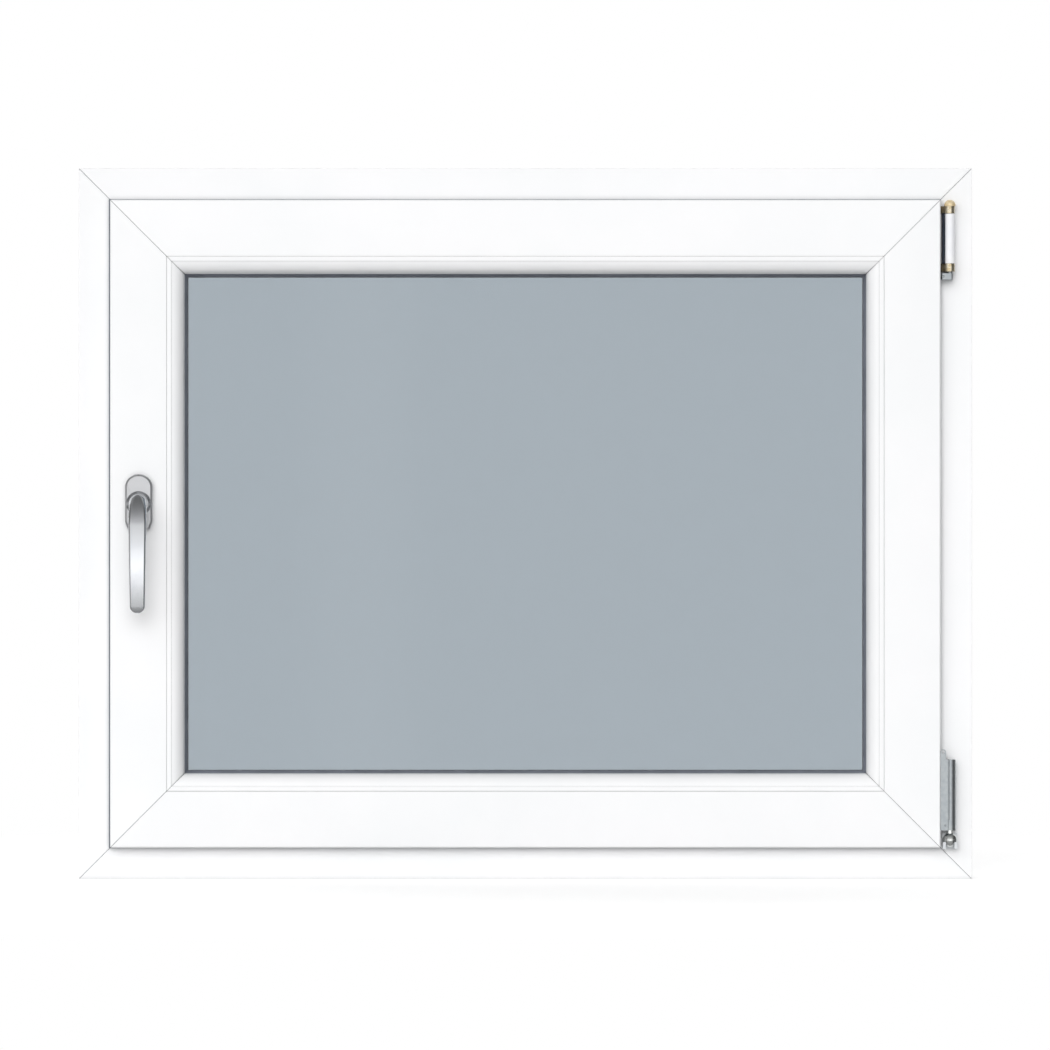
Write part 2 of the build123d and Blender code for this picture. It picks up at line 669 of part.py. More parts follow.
LOWER_KNUCKLE = knuckle(LOWER_KNUCKLE_BOTTOM, LOWER_KNUCKLE_HEIGHT, BESIDE_FIN, ROOM_FACE)
save(LOWER_KNUCKLE, "top_hinge_lower_knuckle")
save(turned(SLEEVE_BOTTOM, SLEEVE_HEIGHT, SLEEVE_DIAMETER, PIN_BORE), "top_hinge_sleeve")
UPPER_KNUCKLE = knuckle(UPPER_KNUCKLE_BOTTOM, UPPER_KNUCKLE_HEIGHT, SASH_RIGHT, LIP_BACK)
save(UPPER_KNUCKLE, "top_hinge_upper_knuckle")
PIN_BOTTOM = TOP_HINGE_BASE + HINGE_BASE_HEIGHT
save(turned(PIN_BOTTOM, HINGE_CAP_BOTTOM - PIN_BOTTOM, HINGE_PIN_DIAMETER), "top_hinge_pin")

with BuildPart() as hinge_cap:
    with BuildSketch(facing_room(HINGE_Y, HINGE_X, HINGE_CAP_BOTTOM)):
        with BuildLine():
            cap_rim = (CAP_DIAMETER / 2, CAP_RIM)
            TangentArc((0, CAP_HEIGHT), cap_rim, tangent=(1, 0))
            Polyline(cap_rim, (CAP_DIAMETER / 2, 0), (0, 0), (0, CAP_HEIGHT))
        make_face()
    revolve(axis=HINGE_AXIS)
save(hinge_cap.part, "top_hinge_cap")

# Bottom hinge: strap with its tongue, barrel, ball on its stem, and the bearing on the frame
STRAP_FRONT = LIP_BACK - STRAP_THICKNESS
STRAP_TOP = STRAP_BOTTOM + STRAP_HEIGHT
with BuildPart() as strap:
    with BuildSketch(at_height(STRAP_BOTTOM)):
        with Locations((SASH_RIGHT + STRAP_WIDTH / 2, STRAP_FRONT + STRAP_THICKNESS / 2)):
            Rectangle(STRAP_WIDTH, STRAP_THICKNESS)
    extrude(amount=STRAP_HEIGHT)
    with BuildSketch(facing_room(STRAP_FRONT, SASH_RIGHT + TONGUE_WIDTH / 2, STRAP_TOP)):
        tongue_round = TONGUE_HEIGHT - TONGUE_WIDTH / 2
        with Locations((0, tongue_round / 2)):
            Rectangle(TONGUE_WIDTH, tongue_round)
        with Locations((0, tongue_round)):
            Circle(TONGUE_WIDTH / 2)
            Circle(TONGUE_HOLE / 2, mode=Mode.SUBTRACT)
    extrude(amount=-TONGUE_THICKNESS)
    with BuildSketch(at_height(STRAP_BOTTOM, HINGE_X, HINGE_Y)):
        Circle(BARREL_DIAMETER / 2)
    extrude(amount=STRAP_HEIGHT, mode=Mode.SUBTRACT)
    strap_pit = pit(STRAP_FRONT, SASH_RIGHT + STRAP_PIT_FROM_EDGE, STRAP_BOTTOM + STRAP_PIT_HEIGHT)
    add(strap_pit, mode=Mode.SUBTRACT)
save(strap.part, "bottom_hinge_strap")

with BuildPart() as barrel:
    add(turned(STRAP_BOTTOM, STRAP_HEIGHT, BARREL_DIAMETER))
    with BuildSketch(at_height(STRAP_BOTTOM + BARREL_GROOVE_FROM_END)):
        with Locations((SASH_RIGHT + STRAP_WIDTH + BARREL_GROOVE_WIDTH / 2, HINGE_FRONT)):
            Rectangle(BARREL_GROOVE_WIDTH, 2 * BARREL_GROOVE_DEPTH)
    extrude(amount=STRAP_HEIGHT - BARREL_GROOVE_FROM_END, mode=Mode.SUBTRACT)
save(barrel.part, "bottom_hinge_barrel")

with BuildPart() as ball:
    with BuildSketch(facing_room(HINGE_Y, HINGE_X, BALL_HEIGHT)):
        with BuildLine():
            ball_radius = BALL_DIAMETER / 2
            stem_radius = BALL_STEM_DIAMETER / 2
            stem_foot = (stem_radius, math.sqrt(ball_radius**2 - stem_radius**2))
            stem_top = STRAP_BOTTOM - BALL_HEIGHT
            TangentArc((0, -ball_radius), stem_foot, tangent=(1, 0))
            Polyline(stem_foot, (stem_radius, stem_top), (0, stem_top), (0, -ball_radius))
        make_face()
    revolve(axis=HINGE_AXIS)
save(ball.part, "bottom_hinge_ball")

with BuildPart() as bearing:
    bearing_middle = BEARING_BOTTOM + BEARING_PLATE_HEIGHT / 2
    with BuildSketch(facing_room(ROOM_FACE, HINGE_X, bearing_middle)):
        Rectangle(BALL_DIAMETER, BEARING_PLATE_HEIGHT)
    extrude(amount=BEARING_PLATE)
    with BuildSketch(facing_room(ROOM_FACE, HINGE_X, BEARING_BOTTOM + BEARING_LEG_HEIGHT / 2)):
        with GridLocations(BALL_DIAMETER - BEARING_LEG, 0, 2, 1):
            Rectangle(BEARING_LEG, BEARING_LEG_HEIGHT)
    extrude(amount=ROOM_FACE - HINGE_FRONT)
    with Locations((HINGE_X, HINGE_Y, BALL_HEIGHT)):
        Sphere(BALL_DIAMETER / 2 + BALL_FIT, mode=Mode.SUBTRACT)
save(bearing.part, "bottom_hinge_bearing")

# Caps over the drain slots on the weather face
for name, x in DRAIN_PLACES.items():
    save(drain_cap(x), f"drain_cap_{name}")
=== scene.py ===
import logging
import math
from dataclasses import dataclass, field, replace
from enum import Enum
from typing import Any

import bmesh
import bpy
import numpy as np
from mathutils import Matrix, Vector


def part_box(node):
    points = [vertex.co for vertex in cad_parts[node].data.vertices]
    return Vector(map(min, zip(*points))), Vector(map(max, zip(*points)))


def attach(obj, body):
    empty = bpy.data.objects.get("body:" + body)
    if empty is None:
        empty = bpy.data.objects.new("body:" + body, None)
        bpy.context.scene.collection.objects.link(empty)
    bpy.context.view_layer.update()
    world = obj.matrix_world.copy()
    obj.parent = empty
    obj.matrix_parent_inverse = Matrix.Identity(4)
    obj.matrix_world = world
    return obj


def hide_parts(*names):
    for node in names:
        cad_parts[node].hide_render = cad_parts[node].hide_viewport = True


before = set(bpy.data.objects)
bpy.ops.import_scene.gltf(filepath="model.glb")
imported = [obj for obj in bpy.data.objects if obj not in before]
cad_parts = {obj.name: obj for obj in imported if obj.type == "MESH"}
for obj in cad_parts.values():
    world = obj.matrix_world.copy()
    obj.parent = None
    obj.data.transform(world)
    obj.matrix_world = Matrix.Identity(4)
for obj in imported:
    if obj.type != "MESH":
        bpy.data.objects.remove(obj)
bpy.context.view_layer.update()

LOG = logging.getLogger("window")
MM = 0.001
WINDOW_BODY = "window"
HANDLE_BODY = "handle"
HANDLE_NODES = ("handle_lever", "handle_spindle")
SIDES = ("bottom", "top", "handle_side", "hinge_side")

# Points closer than this are one point, and faces that turn less than this are one flat face
MERGE_DISTANCE = 0.0005 * MM
FLAT_ANGLE = math.radians(0.5)
# Edges that turn more than this stay sharp to the light
SHARP_ANGLE = math.radians(32)
# Sockets of the Mix node that carry colours
MIX_A, MIX_B, MIX_RESULT = 6, 7, 2
# How finely each noise is broken up, and how strong its finer shares are
RELIEF_NOISE = {"Detail": 3.0, "Roughness": 0.55}
DRIFT_NOISE = {"Detail": 2.0, "Roughness": 0.5}
# Nearly all of a noise lies between these two values
NOISE_LOW, NOISE_HIGH = 0.35, 0.65
# Rays that look for near surfaces, for the painted shade in corners
PAINTED_SHADE_RAYS = 8


class Grain(Enum):
    """Which way the drawn or brushed lines of a finish run, as a stretch of its pattern."""

    ALONG_X = (0.02, 1.0, 1.0)
    ALONG_Z = (1.0, 1.0, 0.02)
    EVEN = (1.0, 1.0, 1.0)


def linear(colour: str) -> tuple[float, float, float, float]:
    """Turn an sRGB hex colour into linear light.

    The light is a 12.92th of the value in the darkest shades, and above them the value plus
    0.055, divided by 1.055, to the power of 2.4.

    Args:
        colour: Six hex digits, such as "F4F5F6".

    Returns:
        Linear red, green and blue, and an alpha of 1.
    """
    values = np.array([int(colour[at : at + 2], 16) / 255 for at in (0, 2, 4)])
    light = np.where(values <= 0.04045, values / 12.92, ((values + 0.055) / 1.055) ** 2.4)
    return (*light.tolist(), 1.0)


def add_node(
    tree: bpy.types.NodeTree,
    kind: str,
    values: dict[Any, Any] | None = None,
    links: dict[Any, Any] | None = None,
    **settings: Any,
) -> bpy.types.Node:
    """Add one shader node with its settings and links.

    Args:
        tree: The node tree that takes the node.
        kind: The node's type name, without "ShaderNode".
        values: Constants, by the name or number of the input socket.
        links: Output sockets to link in, by the name or number of the input socket.
        settings: Properties of the node itself.

    Returns:
        The new node.
    """
    node = tree.nodes.new(f"ShaderNode{kind}")
    for name, setting in settings.items():
        setattr(node, name, setting)
    for socket, value in (values or {}).items():
        node.inputs[socket].default_value = value
    for socket, source in (links or {}).items():
        tree.links.new(source, node.inputs[socket])
    return node


def empty_material(name: str) -> tuple[bpy.types.Material, bpy.types.NodeTree]:
    """Make a material with no nodes.

    Args:
        name: The real finish's name.

    Returns:
        The material and its node tree.
    """
    material = bpy.data.materials.new(name)
    material.use_nodes = True
    material.node_tree.nodes.clear()
    return material, material.node_tree


@dataclass(frozen=True)
class SolidFinish:
    """An opaque finish: a colour that varies a little, with a fine relief and some painted corner
    shade.

    Noise at the relief's real size drives the bump and the roughness, a coarser noise drifts the
    colour between its two shades, and the colour falls off by the share of painted shade where
    other surfaces come closer than its reach, as painted shade in corners and gaps. Turned is how
    strongly a lathe's rings draw the reflections out.
    """

    slot: str
    name: str
    shade: str
    other_shade: str
    roughness: float
    roughness_spread: float
    relief_mm: float
    relief_height_mm: float
    drift_mm: float
    metallic: float = 0.0
    ior: float = 1.5
    grain: Grain = Grain.EVEN
    painted_shade: float = 0.0
    painted_shade_reach_mm: float = 2.0
    turned: float = 0.0

    def colour(self, tree: bpy.types.NodeTree, place: bpy.types.NodeSocket) -> bpy.types.NodeSocket:
        """Drift between the two shades, and darken the corners with painted shade.

        Args:
            tree: The material's node tree.
            place: The place on the object.

        Returns:
            The socket with the colour.
        """
        noise = {"Scale": 1 / (self.drift_mm * MM), **DRIFT_NOISE}
        drift = add_node(tree, "TexNoise", noise, {"Vector": place})
        limits = {"From Min": NOISE_LOW, "From Max": NOISE_HIGH}
        spread = add_node(tree, "MapRange", limits, {"Value": drift.outputs["Fac"]})
        shades = {MIX_A: linear(self.shade), MIX_B: linear(self.other_shade)}
        colour = add_node(tree, "Mix", shades, {0: spread.outputs["Result"]}, data_type="RGBA")
        if not self.painted_shade:
            return colour.outputs[MIX_RESULT]
        # Painted shade: the colour darkens where other surfaces come near, as shade does in corners
        # and gaps
        reach = {"Distance": self.painted_shade_reach_mm * MM}
        near = add_node(tree, "AmbientOcclusion", reach, samples=PAINTED_SHADE_RAYS)
        fall = add_node(tree, "MapRange", {"To Min": 1 - self.painted_shade}, {"Value": near.outputs["AO"]})
        shaded_colour = add_node(
            tree,
            "Mix",
            {0: 1.0},
            {MIX_A: colour.outputs[MIX_RESULT], MIX_B: fall.outputs["Result"]},
            data_type="RGBA",
            blend_type="MULTIPLY",
        )
        return shaded_colour.outputs[MIX_RESULT]

    def material(self) -> bpy.types.Material:
        """Build the finish's material.

        Returns:
            The material, or the one already built under this name.
        """
        made = bpy.data.materials.get(self.name)
        if made:
            return made
        material, tree = empty_material(self.name)
        place = add_node(tree, "TexCoord").outputs["Object"]
        stretched = add_node(tree, "Mapping", {"Scale": self.grain.value}, {"Vector": place})
        relief = add_node(
            tree,
            "TexNoise",
            {"Scale": 1 / (self.relief_mm * MM), **RELIEF_NOISE},
            {"Vector": stretched.outputs["Vector"]},
        ).outputs["Fac"]
        polish = add_node(
            tree,
            "MapRange",
            {
                "To Min": self.roughness - self.roughness_spread,
                "To Max": self.roughness + self.roughness_spread,
            },
            {"Value": relief},
        )
        bump = add_node(tree, "Bump", {"Distance": self.relief_height_mm * MM}, {"Height": relief})
        surface = add_node(
            tree,
            "BsdfPrincipled",
            {"Metallic": self.metallic, "IOR": self.ior, "Anisotropic": self.turned},
            {
                "Base Color": self.colour(tree, place),
                "Roughness": polish.outputs["Result"],
                "Normal": bump.outputs["Normal"],
            },
        )
        if self.turned:
            rings = add_node(tree, "Tangent", direction_type="RADIAL", axis="Y")
            tree.links.new(rings.outputs["Tangent"], surface.inputs["Tangent"])
        add_node(tree, "OutputMaterial", links={"Surface": surface.outputs["BSDF"]})
        return material


@dataclass(frozen=True)
class FloatGlass:
    """Grey tinted float glass: polished flat, so only its tint and its reflections show."""

    name: str = "grey_float_glass"
    tint: str = "C6CDD2"
    ior: float = 1.52

    def material(self) -> bpy.types.Material:
        """Build the glass.

        Returns:
            The material, or the one already built under this name.
        """
        made = bpy.data.materials.get(self.name)
        if made:
            return made
        material, tree = empty_material(self.name)
        values = {
            "Base Color": linear(self.tint),
            "Roughness": 0.0,
            "IOR": self.ior,
            "Transmission Weight": 1.0,
        }
        surface = add_node(tree, "BsdfPrincipled", values)
        add_node(tree, "OutputMaterial", links={"Surface": surface.outputs["BSDF"]})
        return material


# Extruded hard PVC: smooth and slightly glossy, with faint die lines along each bar, and painted
# shade that darkens it where bars meet
PVC_ACROSS = SolidFinish(
    slot="white_plastic",
    name="extruded_white_pvc_across",
    shade="F3F4F5",
    other_shade="F6F6F7",
    roughness=0.3,
    roughness_spread=0.03,
    relief_mm=2.5,
    relief_height_mm=0.01,
    drift_mm=120.0,
    ior=1.53,
    grain=Grain.ALONG_X,
    painted_shade=0.35,
    painted_shade_reach_mm=5.0,
)
PVC_UPRIGHT = replace(PVC_ACROSS, name="extruded_white_pvc_upright", grain=Grain.ALONG_Z)
# The same plastic on the snap-in beads, with stronger painted shade in the step and at the gasket
BEAD_ACROSS = replace(PVC_ACROSS, name="extruded_bead_pvc_across", painted_shade=0.9, painted_shade_reach_mm=3.0)
BEAD_UPRIGHT = replace(PVC_UPRIGHT, name="extruded_bead_pvc_upright", painted_shade=0.9, painted_shade_reach_mm=3.0)
# Weld seam scraped flat: dull PVC in grey, which is painted shade of its groove, so it reads as a
# thin grey line
WELD_SEAM = SolidFinish(
    slot="weld_seam",
    name="scraped_pvc_weld_painted_shade",
    shade="9A9B9D",
    other_shade="A6A7A9",
    roughness=0.5,
    roughness_spread=0.06,
    relief_mm=0.6,
    relief_height_mm=0.03,
    drift_mm=6.0,
    ior=1.53,
)
# Moulded polyamide of the drain caps: even, and a little duller than the extrusion
MOULDED_WHITE = SolidFinish(
    slot="white_plastic",
    name="moulded_white_polyamide",
    shade="F1F2F6",
    other_shade="F6F6F8",
    roughness=0.34,
    roughness_spread=0.04,
    relief_mm=0.6,
    relief_height_mm=0.01,
    drift_mm=30.0,
    ior=1.53,
)
# The same plastic on the hinge's sleeve, with the smoother skin of a polished mould
SLEEVE_WHITE = replace(
    MOULDED_WHITE,
    slot="white_sleeve",
    name="moulded_white_sleeve",
    roughness=0.3,
    roughness_spread=0.03,
)
# EPDM rubber: matt dark grey with a fine extruded skin
EPDM = SolidFinish(
    slot="gasket_rubber",
    name="epdm_rubber",
    shade="6A6F78",
    other_shade="737882",
    roughness=0.55,
    roughness_spread=0.08,
    relief_mm=0.8,
    relief_height_mm=0.03,
    drift_mm=25.0,
)
# Anodised aluminium of the lever and collar: satin silver with a very fine drawn grain
ANODISED = SolidFinish(
    slot="satin_aluminium",
    name="satin_anodised_aluminium",
    shade="CDCFD3",
    other_shade="D4D6D9",
    roughness=0.22,
    roughness_spread=0.015,
    relief_mm=0.4,
    relief_height_mm=0.002,
    drift_mm=20.0,
    metallic=1.0,
    grain=Grain.ALONG_Z,
)
# Lacquered die casting of the rosette: silver paint, duller than the lever, so it stays an even
# grey beside the lever's reflections
COVER = SolidFinish(
    slot="satin_aluminium",
    name="silver_lacquered_casting",
    shade="D2D3D5",
    other_shade="D6D7D9",
    roughness=0.42,
    roughness_spread=0.04,
    relief_mm=0.5,
    relief_height_mm=0.004,
    drift_mm=20.0,
    metallic=1.0,
)
# Zinc plated steel: pale blue grey and slightly cloudy, with painted shade where parts meet
ZINC = SolidFinish(
    slot="zinc_steel",
    name="bright_zinc_plated_steel",
    shade="A7ADB1",
    other_shade="B4B9BB",
    roughness=0.36,
    roughness_spread=0.04,
    relief_mm=1.2,
    relief_height_mm=0.004,
    drift_mm=6.0,
    metallic=1.0,
    painted_shade=0.5,
    painted_shade_reach_mm=1.5,
)
# Yellow passivated zinc: a pale gold film with a mottled tint, and painted shade where parts meet
YELLOW_ZINC = SolidFinish(
    slot="yellow_zinc",
    name="yellow_passivated_zinc",
    shade="DAD2BE",
    other_shade="BFB091",
    roughness=0.24,
    roughness_spread=0.04,
    relief_mm=1.0,
    relief_height_mm=0.006,
    drift_mm=3.0,
    metallic=1.0,
    painted_shade=0.5,
    painted_shade_reach_mm=2.0,
)
# The same film on the pressed cap: milky and soft, so its dome stays cream all round
CAP_ZINC = SolidFinish(
    slot="yellow_zinc",
    name="yellow_passivated_cap",
    shade="E8D0A0",
    other_shade="F0DFBC",
    roughness=0.35,
    roughness_spread=0.05,
    relief_mm=1.0,
    relief_height_mm=0.006,
    drift_mm=3.0,
    metallic=0.3,
)
# Seat of the lower hinge's ball: a lighter, duller copy of the zinc plating, lighter than the
# zinc above it, as painted light that lifts the seat where the ball and strap shade it
SEAT_ZINC_PAINTED_LIGHT = SolidFinish(
    slot="zinc_steel",
    name="zinc_plated_seat_painted_light",
    shade="D2D5D8",
    other_shade="DADDDF",
    roughness=0.45,
    roughness_spread=0.05,
    relief_mm=1.0,
    relief_height_mm=0.004,
    drift_mm=6.0,
    metallic=0.4,
)
# Steel leaf of the hinge in a dull blue black, which is painted shade of the gap between sash and
# sleeve, so it reads as a dark line
LEAF_PAINTED_SHADE = SolidFinish(
    slot="zinc_steel",
    name="leaf_steel_painted_gap_shade",
    shade="2E323B",
    other_shade="383C46",
    roughness=0.5,
    roughness_spread=0.08,
    relief_mm=0.8,
    relief_height_mm=0.01,
    drift_mm=8.0,
    metallic=1.0,
)
# Polished steel turned on a lathe: its fine rings draw each bright reflection out
POLISHED_STEEL = SolidFinish(
    slot="polished_steel",
    name="turned_polished_steel",
    shade="DEE0DF",
    other_shade="E8EAE8",
    roughness=0.22,
    roughness_spread=0.02,
    relief_mm=2.0,
    relief_height_mm=0.001,
    drift_mm=15.0,
    metallic=1.0,
    turned=0.9,
)
# Mill finish aluminium of the spacer between the panes: plain and a little streaky
SPACER = SolidFinish(
    slot="spacer_aluminium",
    name="spacer_bar_aluminium",
    shade="B9BBBE",
    other_shade="C4C6C8",
    roughness=0.35,
    roughness_spread=0.05,
    relief_mm=0.8,
    relief_height_mm=0.01,
    drift_mm=20.0,
    metallic=1.0,
)
# Black butyl sealant round the glazing unit: matt and slightly lumpy
BUTYL = SolidFinish(
    slot="edge_sealant",
    name="butyl_sealant",
    shade="141416",
    other_shade="1B1B1E",
    roughness=0.6,
    roughness_spread=0.1,
    relief_mm=1.5,
    relief_height_mm=0.05,
    drift_mm=10.0,
)
# Blue moulded packers that carry the glass: satin, with a fine moulded skin
PACKER = SolidFinish(
    slot="packer_plastic",
    name="packer_plastic",
    shade="2A5CA8",
    other_shade="3062AE",
    roughness=0.45,
    roughness_spread=0.05,
    relief_mm=0.8,
    relief_height_mm=0.02,
    drift_mm=15.0,
)
GLASS = FloatGlass()


def dress(node: str, finish: SolidFinish | FloatGlass) -> None:
    """Give a CAD node a finish.

    Args:
        node: The node's name.
        finish: The finish that it takes.
    """
    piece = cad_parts[node]
    if not piece.material_slots:
        piece.data.materials.append(None)
    for slot in piece.material_slots:
        slot.material = finish.material()
    LOG.info("dressed %s with %s", node, finish.name)


def settle(piece: bpy.types.Object, finish: SolidFinish, node: str = "") -> None:
    """Dress a new piece, let it stand for its CAD node and move with that node's body.

    Args:
        piece: The new piece.
        finish: The finish that it takes.
        node: The CAD node that it stands for, or nothing for a piece of the scene's own.
    """
    piece.data.materials.append(finish.material())
    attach(piece, HANDLE_BODY if node in HANDLE_NODES else WINDOW_BODY)
    if node:
        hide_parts(node)
    LOG.info("built %s in %s, %d faces", piece.name, finish.name, len(piece.data.polygons))


def close_up(mesh: bpy.types.Mesh, dissolve: bool) -> None:
    """Merge a mesh's doubles, turn its faces outwards and mark its sharp edges.

    Args:
        mesh: The mesh, which is changed.
        dissolve: Whether neighbouring faces that lie flat become one face.
    """
    shape = bmesh.new()
    shape.from_mesh(mesh)
    bmesh.ops.remove_doubles(shape, verts=shape.verts, dist=MERGE_DISTANCE)
    if dissolve:
        bmesh.ops.dissolve_limit(
            shape, angle_limit=FLAT_ANGLE, verts=shape.verts, edges=shape.edges
        )
    bmesh.ops.recalc_face_normals(shape, faces=shape.faces)
    shape.to_mesh(mesh)
    shape.free()
    mesh.shade_smooth()
    mesh.set_sharp_from_angle(angle=SHARP_ANGLE)


def round_edges(piece: bpy.types.Object, edge_mm: float, steps: int = 3) -> None:
    """Round a piece's sharp edges.

    Args:
        piece: The piece.
        edge_mm: Radius of the rounded edges.
        steps: Facets across each rounded edge.
    """
    bevel = piece.modifiers.new("edges", "BEVEL")
    bevel.width = edge_mm * MM
    bevel.segments = steps
    bevel.limit_method = "ANGLE"
    bevel.angle_limit = SHARP_ANGLE
    bevel.harden_normals = True


def eased(node: str, edge_mm: float, steps: int = 3) -> bpy.types.Object:
    """Copy a CAD node and round its sharp edges, as moulding, plating and handling leave them.

    Args:
        node: The node's name.
        edge_mm: Radius of the rounded edges, or 0 to leave them.
        steps: Facets across each rounded edge.

    Returns:
        The new piece.
    """
    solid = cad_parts[node].data
    points = np.zeros(3 * len(solid.vertices), np.float32)
    corners = np.zeros(len(solid.loops), np.int32)
    solid.vertices.foreach_get("co", points)
    solid.loops.foreach_get("vertex_index", corners)
    mesh = bpy.data.meshes.new(f"{node}_eased")
    mesh.from_pydata(points.reshape(-1, 3).tolist(), [], corners.reshape(-1, 3).tolist())
    close_up(mesh, dissolve=True)
    piece = bpy.data.objects.new(mesh.name, mesh)
    bpy.context.collection.objects.link(piece)
    if edge_mm:
        round_edges(piece, edge_mm, steps)
    return piece


@dataclass
class Patch:
    """A grid of points: its rows follow a path and its columns follow a profile."""

    points: np.ndarray
    rows_close: bool = False
    columns_close: bool = False
    cap_rows: bool = False

    def faces(self) -> list[list[int]]:
        """Join neighbouring points into quads, and close the two end rows with one face each.

        Returns:
            Each face's points, by their number in the grid read row by row.
        """
        rows, columns = self.points.shape[:2]
        number = np.arange(rows * columns).reshape(rows, columns)
        ends = [number[0].tolist(), number[-1].tolist()]
        if self.rows_close:
            number = np.vstack([number, number[:1]])
        if self.columns_close:
            number = np.hstack([number, number[:, :1]])
        near, far = number[:-1], number[1:]
        quads = np.stack([near[:, :-1], far[:, :-1], far[:, 1:], near[:, 1:]], axis=-1)
        return quads.reshape(-1, 4).tolist() + (ends if self.cap_rows else [])


def sculpt(name: str, *patches: Patch) -> bpy.types.Object:
    """Make one closed piece from patches of its surface.

    Args:
        name: The piece's name.
        patches: The patches, whose edges meet.

    Returns:
        The new piece.
    """
    points, faces, count = [], [], 0
    for patch in patches:
        points.append(patch.points.reshape(-1, 3))
        faces += [[count + number for number in face] for face in patch.faces()]
        count += len(points[-1])
    mesh = bpy.data.meshes.new(name)
    mesh.from_pydata(np.concatenate(points).tolist(), [], faces)
    close_up(mesh, dissolve=False)
    piece = bpy.data.objects.new(name, mesh)
    bpy.context.collection.objects.link(piece)
    return piece


@dataclass
class Bars:
    """Four mitred bars of one extruded section, such as the frame, the sash or the beads."""

    kind: str
    edge_mm: float
    across: SolidFinish = PVC_ACROSS
    upright: SolidFinish = PVC_UPRIGHT

    def build(self) -> None:
        """Round each bar's edges and give it the plastic whose die lines run along it."""
        for side in SIDES:
            node = f"{self.kind}_{side}"
            finish = self.across if side in ("bottom", "top") else self.upright
            settle(eased(node, self.edge_mm), finish, node)


@dataclass
class Glazing:
    """The double glazing unit with its packers and gaskets, and the welds of the bars round it."""

    lip_edge_mm: float = 0.15

    def build(self) -> None:
        """Give each part of the unit its finish, and round the gaskets' lips."""
        for node in ("glass_room_pane", "glass_weather_pane"):
            dress(node, GLASS)
        dress("glass_spacer", SPACER)
        dress("glass_edge_seal", BUTYL)
        dress("glass_packers", PACKER)
        # The welds' grey is painted shade of their grooves
        for node in ("frame_welds", "sash_welds"):
            dress(node, WELD_SEAM)
        for node in ("bead_gasket", "weather_gasket", "overlap_gasket", "stop_gasket"):
            settle(eased(node, self.lip_edge_mm), EPDM, node)


